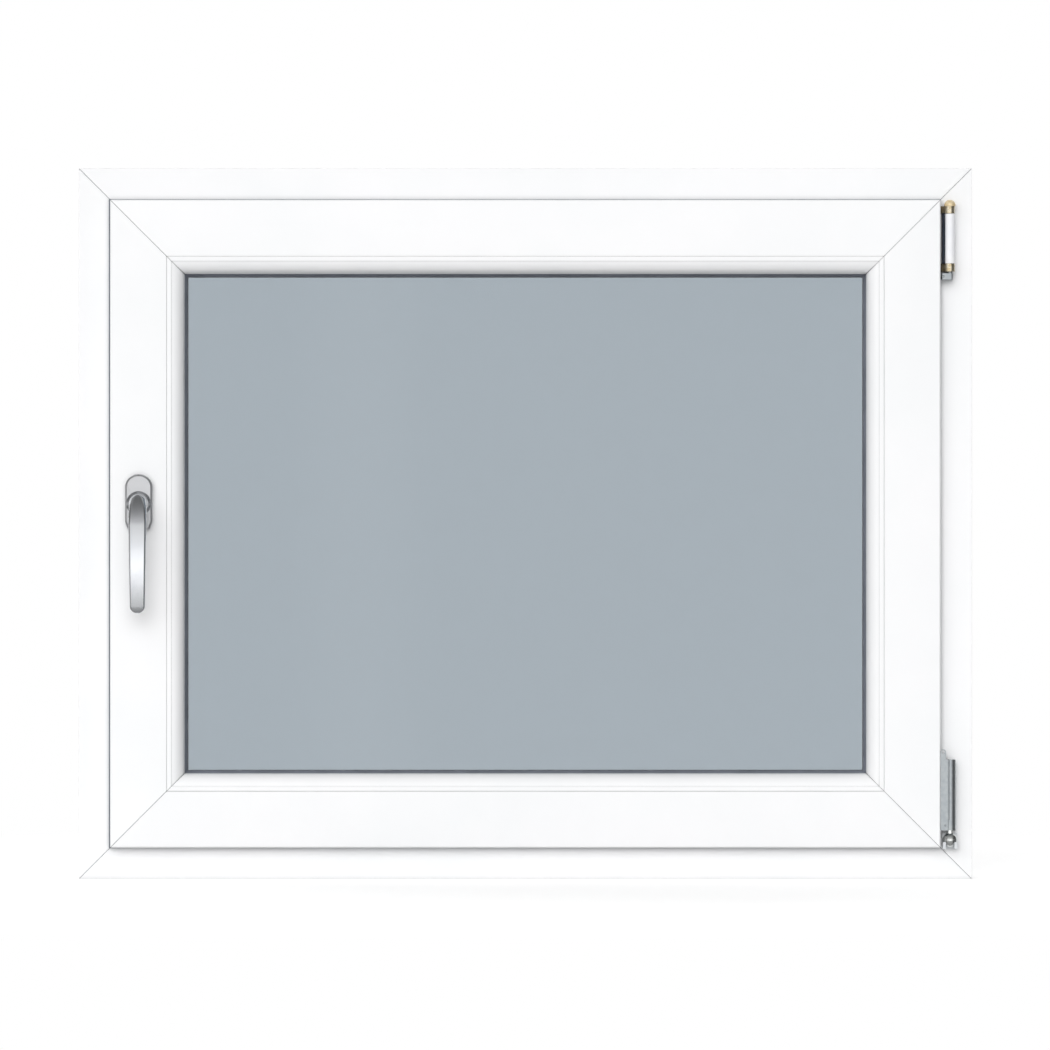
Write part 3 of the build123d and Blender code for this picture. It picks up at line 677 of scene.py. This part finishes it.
@dataclass
class Lever:
    """The lever: a round neck, a bend that flattens, a bowed grip that narrows, a rounded tip.

    The neck ends in a slant, and there the front face starts with a crisp edge over its top.
    """

    neck_mm: float = 19.4
    neck_clear_mm: float = 0.05
    bend_reach_mm: float = 21.0
    bend_drop_mm: float = 26.0
    bend_turn: float = math.radians(82)
    top_slope: float = 0.95
    reach_mm: float = 119.7
    clear_mm: float = 32.0
    thickness_mm: float = 13.0
    end_width_mm: float = 16.4
    end_thickness_mm: float = 9.9
    roundness: float = 0.45
    rows: tuple[int, int, int] = (26, 34, 18)
    corner_steps: int = 8

    def middle_line(self) -> tuple[np.ndarray, ...]:
        """Work out the lever's middle line and its sections' sizes, from the bend to the tip.

        In the bend each section spans from a back line to a front line. The back line is a
        quarter ellipse: its depth goes with the sine and its drop with one less the cosine of the
        turn. The front line's slope falls evenly from the top's slope to the grip's, so its depth
        is a parabola. The grip's middle is a parabola that leaves the bend at the grip's slope
        and ends at the same slope the other way. The tip's width falls with the cosine and its
        thickness with the cosine's root.

        Returns:
            Depth from the sash, drop, lean, width, thickness and roundness, one value a row.
        """
        bend, grip, tip = (np.linspace(0, 1, count) for count in self.rows)
        grip_depth = self.clear_mm + self.thickness_mm / 2
        grip_start = self.bend_drop_mm * (1 - math.cos(self.bend_turn))
        tip_start = self.reach_mm - self.end_width_mm / 2
        length = tip_start - grip_start
        slope = self.bend_reach_mm / (self.bend_drop_mm * math.tan(self.bend_turn))
        lean_in = math.pi / 2 - math.atan(slope)
        half = self.thickness_mm / 2 * np.array([math.sin(lean_in), -math.cos(lean_in)])
        front_end = np.array([grip_depth, grip_start]) + half
        back_end = np.array([grip_depth, grip_start]) - half
        back_start = grip_depth - self.bend_reach_mm * math.sin(self.bend_turn)
        turn = bend * self.bend_turn
        back_rise = np.sin(turn) / math.sin(self.bend_turn)
        back_depth = back_start + (back_end[0] - back_start) * back_rise
        back_fall = (1 - np.cos(turn)) / (1 - math.cos(self.bend_turn))
        back_drop = self.neck_mm / 2 + (back_end[1] - self.neck_mm / 2) * back_fall
        fall = front_end[1] + self.neck_mm / 2
        left = 1 - bend
        front_drop = front_end[1] - fall * left
        front_depth = front_end[0] - fall * (slope * left + (self.top_slope - slope) * left**2 / 2)
        round_off = tip * math.pi / 2
        beyond = self.end_width_mm / 2 * np.sin(round_off)
        depth = [
            (front_depth + back_depth) / 2,
            grip_depth + length * slope * grip * (1 - grip),
            grip_depth - beyond * slope,
        ]
        drop = [(front_drop + back_drop) / 2, grip_start + length * grip, tip_start + beyond]
        lean = [
            np.arctan2(front_depth - back_depth, back_drop - front_drop),
            math.pi / 2 - np.arctan(slope * (1 - 2 * grip)),
            np.full_like(tip, math.pi / 2 + math.atan(slope)),
        ]
        width = [
            np.full_like(bend, self.neck_mm),
            self.neck_mm + (self.end_width_mm - self.neck_mm) * grip,
            self.end_width_mm * np.cos(round_off),
        ]
        thickness = [
            np.hypot(front_depth - back_depth, back_drop - front_drop),
            self.thickness_mm + (self.end_thickness_mm - self.thickness_mm) * grip,
            self.end_thickness_mm * np.sqrt(np.abs(np.cos(round_off))),
        ]
        roundness = [
            1 + (self.roundness - 1) * np.sqrt(bend),
            np.full_like(grip, self.roundness),
            np.full_like(tip, self.roundness),
        ]
        columns = (depth, drop, lean, width, thickness, roundness)
        return tuple(np.concatenate(column) for column in columns)

    def surface(self, axis: np.ndarray, sash_face: float, foot: float) -> Patch:
        """Carry a rectangle with round corners along the middle line.

        Each section's point is the middle, plus its corner's centre, plus the corner's radius
        times the cosine across and the sine up, where up leans from the window's height to the
        room as the lever bends down.

        Args:
            axis: A point on the axis that the handle turns about.
            sash_face: Depth of the sash's face.
            foot: Depth of the neck's foot.

        Returns:
            The lever's surface.
        """
        neck_depth = (sash_face - foot) / MM + self.neck_clear_mm
        neck = (neck_depth, 0.0, 0.0, self.neck_mm, self.neck_mm, 1.0)
        depth, drop, lean, width, thickness, roundness = (
            np.concatenate([[first], rest])[:, None]
            for first, rest in zip(neck, self.middle_line())
        )
        radius = roundness * np.minimum(width, thickness) / 2
        quarter = np.arange(4)[:, None]
        turns = ((quarter + np.linspace(0, 1, self.corner_steps)) * math.pi / 2).ravel()
        middle_turns = np.repeat((quarter + 0.5).ravel() * math.pi / 2, self.corner_steps)
        across = np.sign(np.cos(middle_turns)) * (width / 2 - radius) + radius * np.cos(turns)
        up = np.sign(np.sin(middle_turns)) * (thickness / 2 - radius) + radius * np.sin(turns)
        points = np.stack(
            [
                axis[0] / MM + across,
                sash_face / MM - depth - up * np.sin(lean),
                axis[2] / MM - drop + up * np.cos(lean),
            ],
            axis=-1,
        )
        return Patch(points * MM, columns_close=True, cap_rows=True)


@dataclass
class Handle:
    """The lever handle with its rosette, collar and spindle."""

    rosette_edge_mm: float = 0.7
    collar_edge_mm: float = 0.2
    collar_rim_mm: float = 0.8
    collar_front_mm: float = 10.6
    collar_bore_mm: float = 9.9
    collar_steps: int = 96
    lever: Lever = field(default_factory=Lever)

    def collar(self, low: np.ndarray, high: np.ndarray) -> bpy.types.Object:
        """Turn the collar about the handle's axis: a short rim, then a cone to its front.

        Each point is the axis plus the profile's radius times the cosine to the right and the
        sine upwards, at the profile's depth.

        Args:
            low: The collar's lowest corner.
            high: Its highest corner.

        Returns:
            The collar.
        """
        centre, radius = (low + high) / 2, (high[0] - low[0]) / 2
        rim = self.collar_rim_mm * MM
        front, bore = self.collar_front_mm * MM, self.collar_bore_mm * MM
        profile = np.array(
            [
                [bore, high[1]],
                [radius, high[1]],
                [radius, high[1] - rim],
                [front, low[1]],
                [bore, low[1]],
            ]
        )
        turns = np.linspace(0, 2 * math.pi, self.collar_steps, endpoint=False)[:, None]
        across = centre[0] + profile[:, 0] * np.cos(turns)
        up = centre[2] + profile[:, 0] * np.sin(turns)
        depth = np.broadcast_to(profile[:, 1], up.shape)
        points = np.stack([across, depth, up], axis=-1)
        piece = sculpt("handle_collar_turned", Patch(points, rows_close=True, columns_close=True))
        round_edges(piece, self.collar_edge_mm)
        return piece

    def build(self) -> None:
        """Build the lever and the collar, round the cover's edges and dress the spindle."""
        collar = np.array([list(corner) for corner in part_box("handle_collar")])
        rosette_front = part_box("handle_rosette")[0].y
        sash_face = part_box("sash_handle_side")[0].y
        surface = self.lever.surface(collar.mean(axis=0), sash_face, rosette_front)
        settle(sculpt("handle_lever_casting", surface), ANODISED, "handle_lever")
        settle(eased("handle_rosette", self.rosette_edge_mm), COVER, "handle_rosette")
        settle(self.collar(*collar), ANODISED, "handle_collar")
        dress("handle_spindle", ZINC)


@dataclass
class Hinges:
    """The two surface hinges on the right."""

    edge_mm: float = 0.25
    sleeve_edge_mm: float = 0.3
    knuckle_mm: float = 11.8
    ear_front_mm: float = 7.7
    ear_lean_mm: float = 2.6
    ear_edge_mm: float = 1.2
    leaf_front_mm: float = 3.0
    leaf_left_mm: float = 1.2
    leaf_mm: float = 2.9
    knuckle_steps: int = 40

    def stood_up(self, name: str, outline: np.ndarray, low: float, high: float) -> bpy.types.Object:
        """Carry an outline straight up and round the piece's edges.

        Each point is the outline's point across and back, at the lower or the upper height.

        Args:
            name: The piece's name.
            outline: Places to the right and to the back, one row a point, in millimetres.
            low: The lower height, in millimetres.
            high: The upper height, in millimetres.

        Returns:
            The piece, closed at both heights.
        """
        heights = np.array([low, high])[:, None, None]
        level = np.broadcast_to(outline, (2, *outline.shape))
        points = np.concatenate([level, np.broadcast_to(heights, (2, len(outline), 1))], axis=2)
        piece = sculpt(name, Patch(points * MM, columns_close=True, cap_rows=True))
        round_edges(piece, self.edge_mm)
        return piece

    def knuckle(self, node: str) -> bpy.types.Object:
        """Carry a knuckle's outline up the hinge.

        The outline is a circle round the pin, whose point is the centre plus the radius times the
        cosine to the right and the sine to the back, and the ear that runs off it to the left.

        Args:
            node: The CAD node that it stands for.

        Returns:
            The knuckle, with its ear set back behind the barrel.
        """
        low, high = (np.array(corner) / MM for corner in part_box(node))
        radius = self.knuckle_mm / 2
        centre = np.array([high[0] - radius, low[1] + radius])
        ear_front, back = low[1] + self.ear_front_mm, high[1]
        first = math.pi - math.asin((ear_front - centre[1]) / radius)
        last = 3 * math.pi - math.asin(min(1.0, (back - centre[1]) / radius))
        turns = np.linspace(first, last, self.knuckle_steps)
        barrel = centre + radius * np.stack([np.cos(turns), np.sin(turns)], axis=1)
        ear_left = min(ear_front + self.ear_lean_mm, back - self.ear_edge_mm)
        ear = np.array([[barrel[-1, 0], back], [low[0], back], [low[0], ear_left]])
        return self.stood_up(f"{node}_rolled", np.vstack([barrel, ear]), low[2], high[2])

    def leaf(self) -> bpy.types.Object:
        """Stand the hinge's leaf between the two ears, beside the sleeve, in a blue black that is
        painted shade of the gap there.

        Returns:
            The leaf: a plate whose four corners are carried from the lower ear to the upper one.
        """
        below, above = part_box("top_hinge_lower_knuckle"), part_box("top_hinge_upper_knuckle")
        left = below[0].x / MM + self.leaf_left_mm
        front, back = below[0].y / MM + self.leaf_front_mm, above[1].y / MM
        outline = np.array([[0, front], [self.leaf_mm, front], [self.leaf_mm, back], [0, back]])
        outline[:, 0] += left
        return self.stood_up("top_hinge_leaf_painted_shade", outline, below[1].z / MM, above[0].z / MM)

    def build(self) -> None:
        """Build the knuckles and the leaf, round the other fittings, and give each its finish."""
        settle(eased("top_hinge_cap", self.edge_mm), CAP_ZINC, "top_hinge_cap")
        for node in ("top_hinge_upper_knuckle", "top_hinge_lower_knuckle"):
            settle(self.knuckle(node), YELLOW_ZINC, node)
        # The leaf's blue black is painted shade of the gap between sash and sleeve
        settle(self.leaf(), LEAF_PAINTED_SHADE)
        for node in ("top_hinge_base", "bottom_hinge_strap", "bottom_hinge_barrel"):
            settle(eased(node, self.edge_mm), ZINC, node)
        # The seat's lighter zinc is painted light against the shade of the ball and strap
        settle(eased("bottom_hinge_bearing", self.edge_mm), SEAT_ZINC_PAINTED_LIGHT, "bottom_hinge_bearing")
        settle(eased("top_hinge_sleeve", self.sleeve_edge_mm), SLEEVE_WHITE, "top_hinge_sleeve")
        settle(eased("bottom_hinge_ball", 0), POLISHED_STEEL, "bottom_hinge_ball")
        dress("top_hinge_pin", ZINC)


@dataclass
class Drainage:
    """The caps over the drain slots on the weather face."""

    edge_mm: float = 0.3

    def build(self) -> None:
        """Give both caps the moulded plastic, with eased edges."""
        for node in ("drain_cap_left", "drain_cap_right"):
            settle(eased(node, self.edge_mm), MOULDED_WHITE, node)


@dataclass
class Studio:
    """The floor, the lights, the surroundings and the camera."""

    view_width: float = 1156.4 * MM
    aim: tuple[float, float] = (-0.4 * MM, 388.6 * MM)
    camera_distance: float = 9.6
    camera_reach: float = 100.0
    sensor: float = 36.0
    floor_radius: float = 3.0
    floor_corners: int = 96
    floor_fade: tuple[float, float] = (0.5, 1.5)
    floor_lift: float = 0.5
    floor_albedo: float = 0.8
    # What metal mirrors by height: the sine of the way up, and the brightness seen there
    room_heights: tuple[tuple[float, float], ...] = (
        (-1.0, 0.3),
        (-0.4, 0.45),
        (-0.24, 0.62),
        (-0.18, 1.05),
        (-0.11, 1.8),
        (0.02, 1.8),
        (0.1, 1.05),
        (0.22, 0.75),
        (0.47, 0.58),
        (0.84, 0.3),
        (1.0, 0.15),
    )
    # And by side: the sines to the right between which the room falls off, and to what share
    room_sides: tuple[tuple[float, float, float], ...] = ((0.42, 0.82, 0.12), (-0.5, -0.9, 0.3))
    # A soft strip of light behind the camera that the glass shows as a lighter band
    strip_place: float = -0.019
    strip_half_width: float = 0.011
    strip_light: float = 0.25
    ambient: float = 0.3
    # Each lamp: its strength, the angle that it spans, and the way that its light comes from
    lamps: tuple[tuple[str, float, float, tuple[float, float, float]], ...] = (
        ("key", 0.32, 50.0, (-0.55, -1.0, 0.5)),
        ("front_fill", 0.4, 40.0, (0.0, -1.0, 0.4)),
        ("rear_fill", 0.6, 80.0, (-0.3, 1.0, 0.3)),
    )

    def camera(self) -> None:
        """Set the camera square on to the window, far away on a long lens."""
        data = bpy.data.cameras.new("camera")
        data.sensor_width = self.sensor
        data.lens = self.sensor * self.camera_distance / self.view_width
        data.clip_end = self.camera_reach
        camera = bpy.data.objects.new("camera", data)
        bpy.context.collection.objects.link(camera)
        camera.location = (self.aim[0], -self.camera_distance, self.aim[1])
        camera.rotation_euler = (math.pi / 2, 0.0, 0.0)
        bpy.context.scene.camera = camera

    def ray_is(self, tree: bpy.types.NodeTree, *kinds: str) -> bpy.types.NodeSocket:
        """Add a test of the ray's kind.

        Args:
            tree: The node tree that takes the test.
            kinds: Names of Light Path outputs, such as "Is Camera Ray".

        Returns:
            The socket that is 1 for a ray of one of these kinds and 0 for any other.
        """
        path = add_node(tree, "LightPath")
        found = path.outputs[kinds[0]]
        for kind in kinds[1:]:
            links = {0: found, 1: path.outputs[kind]}
            found = add_node(tree, "Math", links=links, operation="MAXIMUM").outputs[0]
        return found

    def room_in_metal(self, tree: bpy.types.NodeTree) -> bpy.types.NodeSocket:
        """Add the room that metal and glass mirror.

        It is brightest at the height of the eye, falls off upwards and downwards, and is dim to
        the far left and dark to the right. A soft strip of light stands behind the camera.

        Args:
            tree: The world's node tree.

        Returns:
            The socket with the brightness in the ray's direction.
        """
        way = add_node(tree, "TexCoord")
        split = add_node(tree, "SeparateXYZ", links={0: way.outputs["Generated"]})
        brightest = max(light for _, light in self.room_heights)
        share = add_node(tree, "MapRange", {"From Min": -1.0}, {"Value": split.outputs["Z"]})
        ramp = add_node(tree, "ValToRGB", links={0: share.outputs["Result"]})
        stops = ramp.color_ramp.elements
        while len(stops) < len(self.room_heights):
            stops.new(1.0)
        for stop, (height, light) in zip(stops, self.room_heights):
            stop.position = (height + 1) / 2
            stop.color = (light / brightest,) * 3 + (1.0,)
        links = {0: ramp.outputs["Color"]}
        light = add_node(tree, "Math", {1: brightest}, links, operation="MULTIPLY").outputs[0]
        for near, far, dimmest in self.room_sides:
            wall = add_node(
                tree,
                "MapRange",
                {"From Min": near, "From Max": far, "To Min": 1.0, "To Max": dimmest},
                {"Value": split.outputs["X"]},
                interpolation_type="SMOOTHSTEP",
            )
            links = {0: light, 1: wall.outputs["Result"]}
            light = add_node(tree, "Math", links=links, operation="MULTIPLY").outputs[0]
        links = {0: split.outputs["X"]}
        aside = add_node(tree, "Math", {1: self.strip_place}, links, operation="SUBTRACT")
        aside = add_node(tree, "Math", links={0: aside.outputs[0]}, operation="ABSOLUTE")
        strip = add_node(
            tree,
            "MapRange",
            {"From Max": self.strip_half_width, "To Min": self.strip_light, "To Max": 0.0},
            {"Value": aside.outputs[0]},
            interpolation_type="SMOOTHERSTEP",
        )
        links = {0: light, 1: strip.outputs["Result"]}
        return add_node(tree, "Math", links=links, operation="ADD").outputs[0]

    def world(self) -> None:
        """Surround the object with even light that looks white where it is seen."""
        world = bpy.data.worlds.new("studio")
        bpy.context.scene.world = world
        world.use_nodes = True
        tree = world.node_tree
        tree.nodes.clear()
        white = add_node(tree, "Background", {"Strength": 1.0})
        soft = add_node(tree, "Background", {"Strength": self.ambient})
        room = add_node(tree, "Background", links={"Strength": self.room_in_metal(tree)})
        for light in (white, soft, room):
            light.inputs["Color"].default_value = (1.0, 1.0, 1.0, 1.0)
        shiny = self.ray_is(tree, "Is Glossy Ray")
        links = {0: shiny, 1: soft.outputs[0], 2: room.outputs[0]}
        metal = add_node(tree, "MixShader", links=links)
        seen = self.ray_is(tree, "Is Camera Ray", "Is Transmission Ray")
        links = {0: seen, 1: metal.outputs[0], 2: white.outputs[0]}
        light = add_node(tree, "MixShader", links=links)
        add_node(tree, "OutputWorld", links={"Surface": light.outputs[0]})

    def hang_lamps(self) -> None:
        """Hang far, wide lamps that light the object evenly and leave the mirroring to the room."""
        for name, strength, angle, way in self.lamps:
            data = bpy.data.lights.new(name, "SUN")
            data.energy = strength * math.pi
            data.angle = math.radians(angle)
            lamp = bpy.data.objects.new(name, data)
            bpy.context.collection.objects.link(lamp)
            lamp.visible_glossy = False
            lamp.visible_transmission = False
            turn = math.atan2(way[0], -way[1])
            tilt = math.atan2(math.hypot(way[0], way[1]), way[2])
            lamp.rotation_euler = (tilt, 0.0, turn)

    def floor(self) -> None:
        """Lay a pale round floor that fades into the white far from the object."""
        turns = np.linspace(0, 2 * math.pi, self.floor_corners, endpoint=False)
        rim = np.stack([np.cos(turns), np.sin(turns), np.zeros_like(turns)], axis=1)
        mesh = bpy.data.meshes.new("floor")
        mesh.from_pydata((rim * self.floor_radius).tolist(), [], [list(range(len(rim)))])
        floor = bpy.data.objects.new("floor", mesh)
        bpy.context.collection.objects.link(floor)
        material, tree = empty_material("studio_floor")
        place = add_node(tree, "TexCoord")
        links = {0: place.outputs["Object"]}
        distance = add_node(tree, "VectorMath", links=links, operation="LENGTH")
        far = add_node(
            tree,
            "MapRange",
            {"From Min": self.floor_fade[0], "From Max": self.floor_fade[1]},
            {"Value": distance.outputs["Value"]},
            interpolation_type="SMOOTHSTEP",
        )
        lit = add_node(tree, "BsdfDiffuse", {"Color": (self.floor_albedo,) * 3 + (1.0,)})
        lift = add_node(tree, "Emission", {"Strength": self.floor_lift})
        near = add_node(tree, "AddShader", links={0: lit.outputs[0], 1: lift.outputs[0]})
        white = add_node(tree, "Emission", {"Strength": 1.0})
        links = {0: far.outputs["Result"], 1: near.outputs[0], 2: white.outputs[0]}
        seen = add_node(tree, "MixShader", links=links)
        rays = self.ray_is(tree, "Is Camera Ray", "Is Glossy Ray", "Is Transmission Ray")
        links = {0: rays, 1: lit.outputs[0], 2: seen.outputs[0]}
        surface = add_node(tree, "MixShader", links=links)
        add_node(tree, "OutputMaterial", links={"Surface": surface.outputs[0]})
        mesh.materials.append(material)
        floor.visible_glossy = False

    def build(self) -> None:
        """Set up the whole studio."""
        self.camera()
        self.world()
        self.hang_lamps()
        self.floor()
        bpy.context.scene.view_settings.view_transform = "Standard"


def main() -> None:
    """Build the studio and the window."""
    logging.basicConfig(level=logging.INFO, format="%(name)s: %(message)s")
    Studio().build()
    parts = (
        Bars("frame", edge_mm=0.4),
        Bars("sash", edge_mm=0.3),
        Bars("bead", edge_mm=0.1, across=BEAD_ACROSS, upright=BEAD_UPRIGHT),
        Glazing(),
        Handle(),
        Hinges(),
        Drainage(),
    )
    for part in parts:
        part.build()
        LOG.info("finished %s", type(part).__name__)


if __name__ == "__main__":
    main()
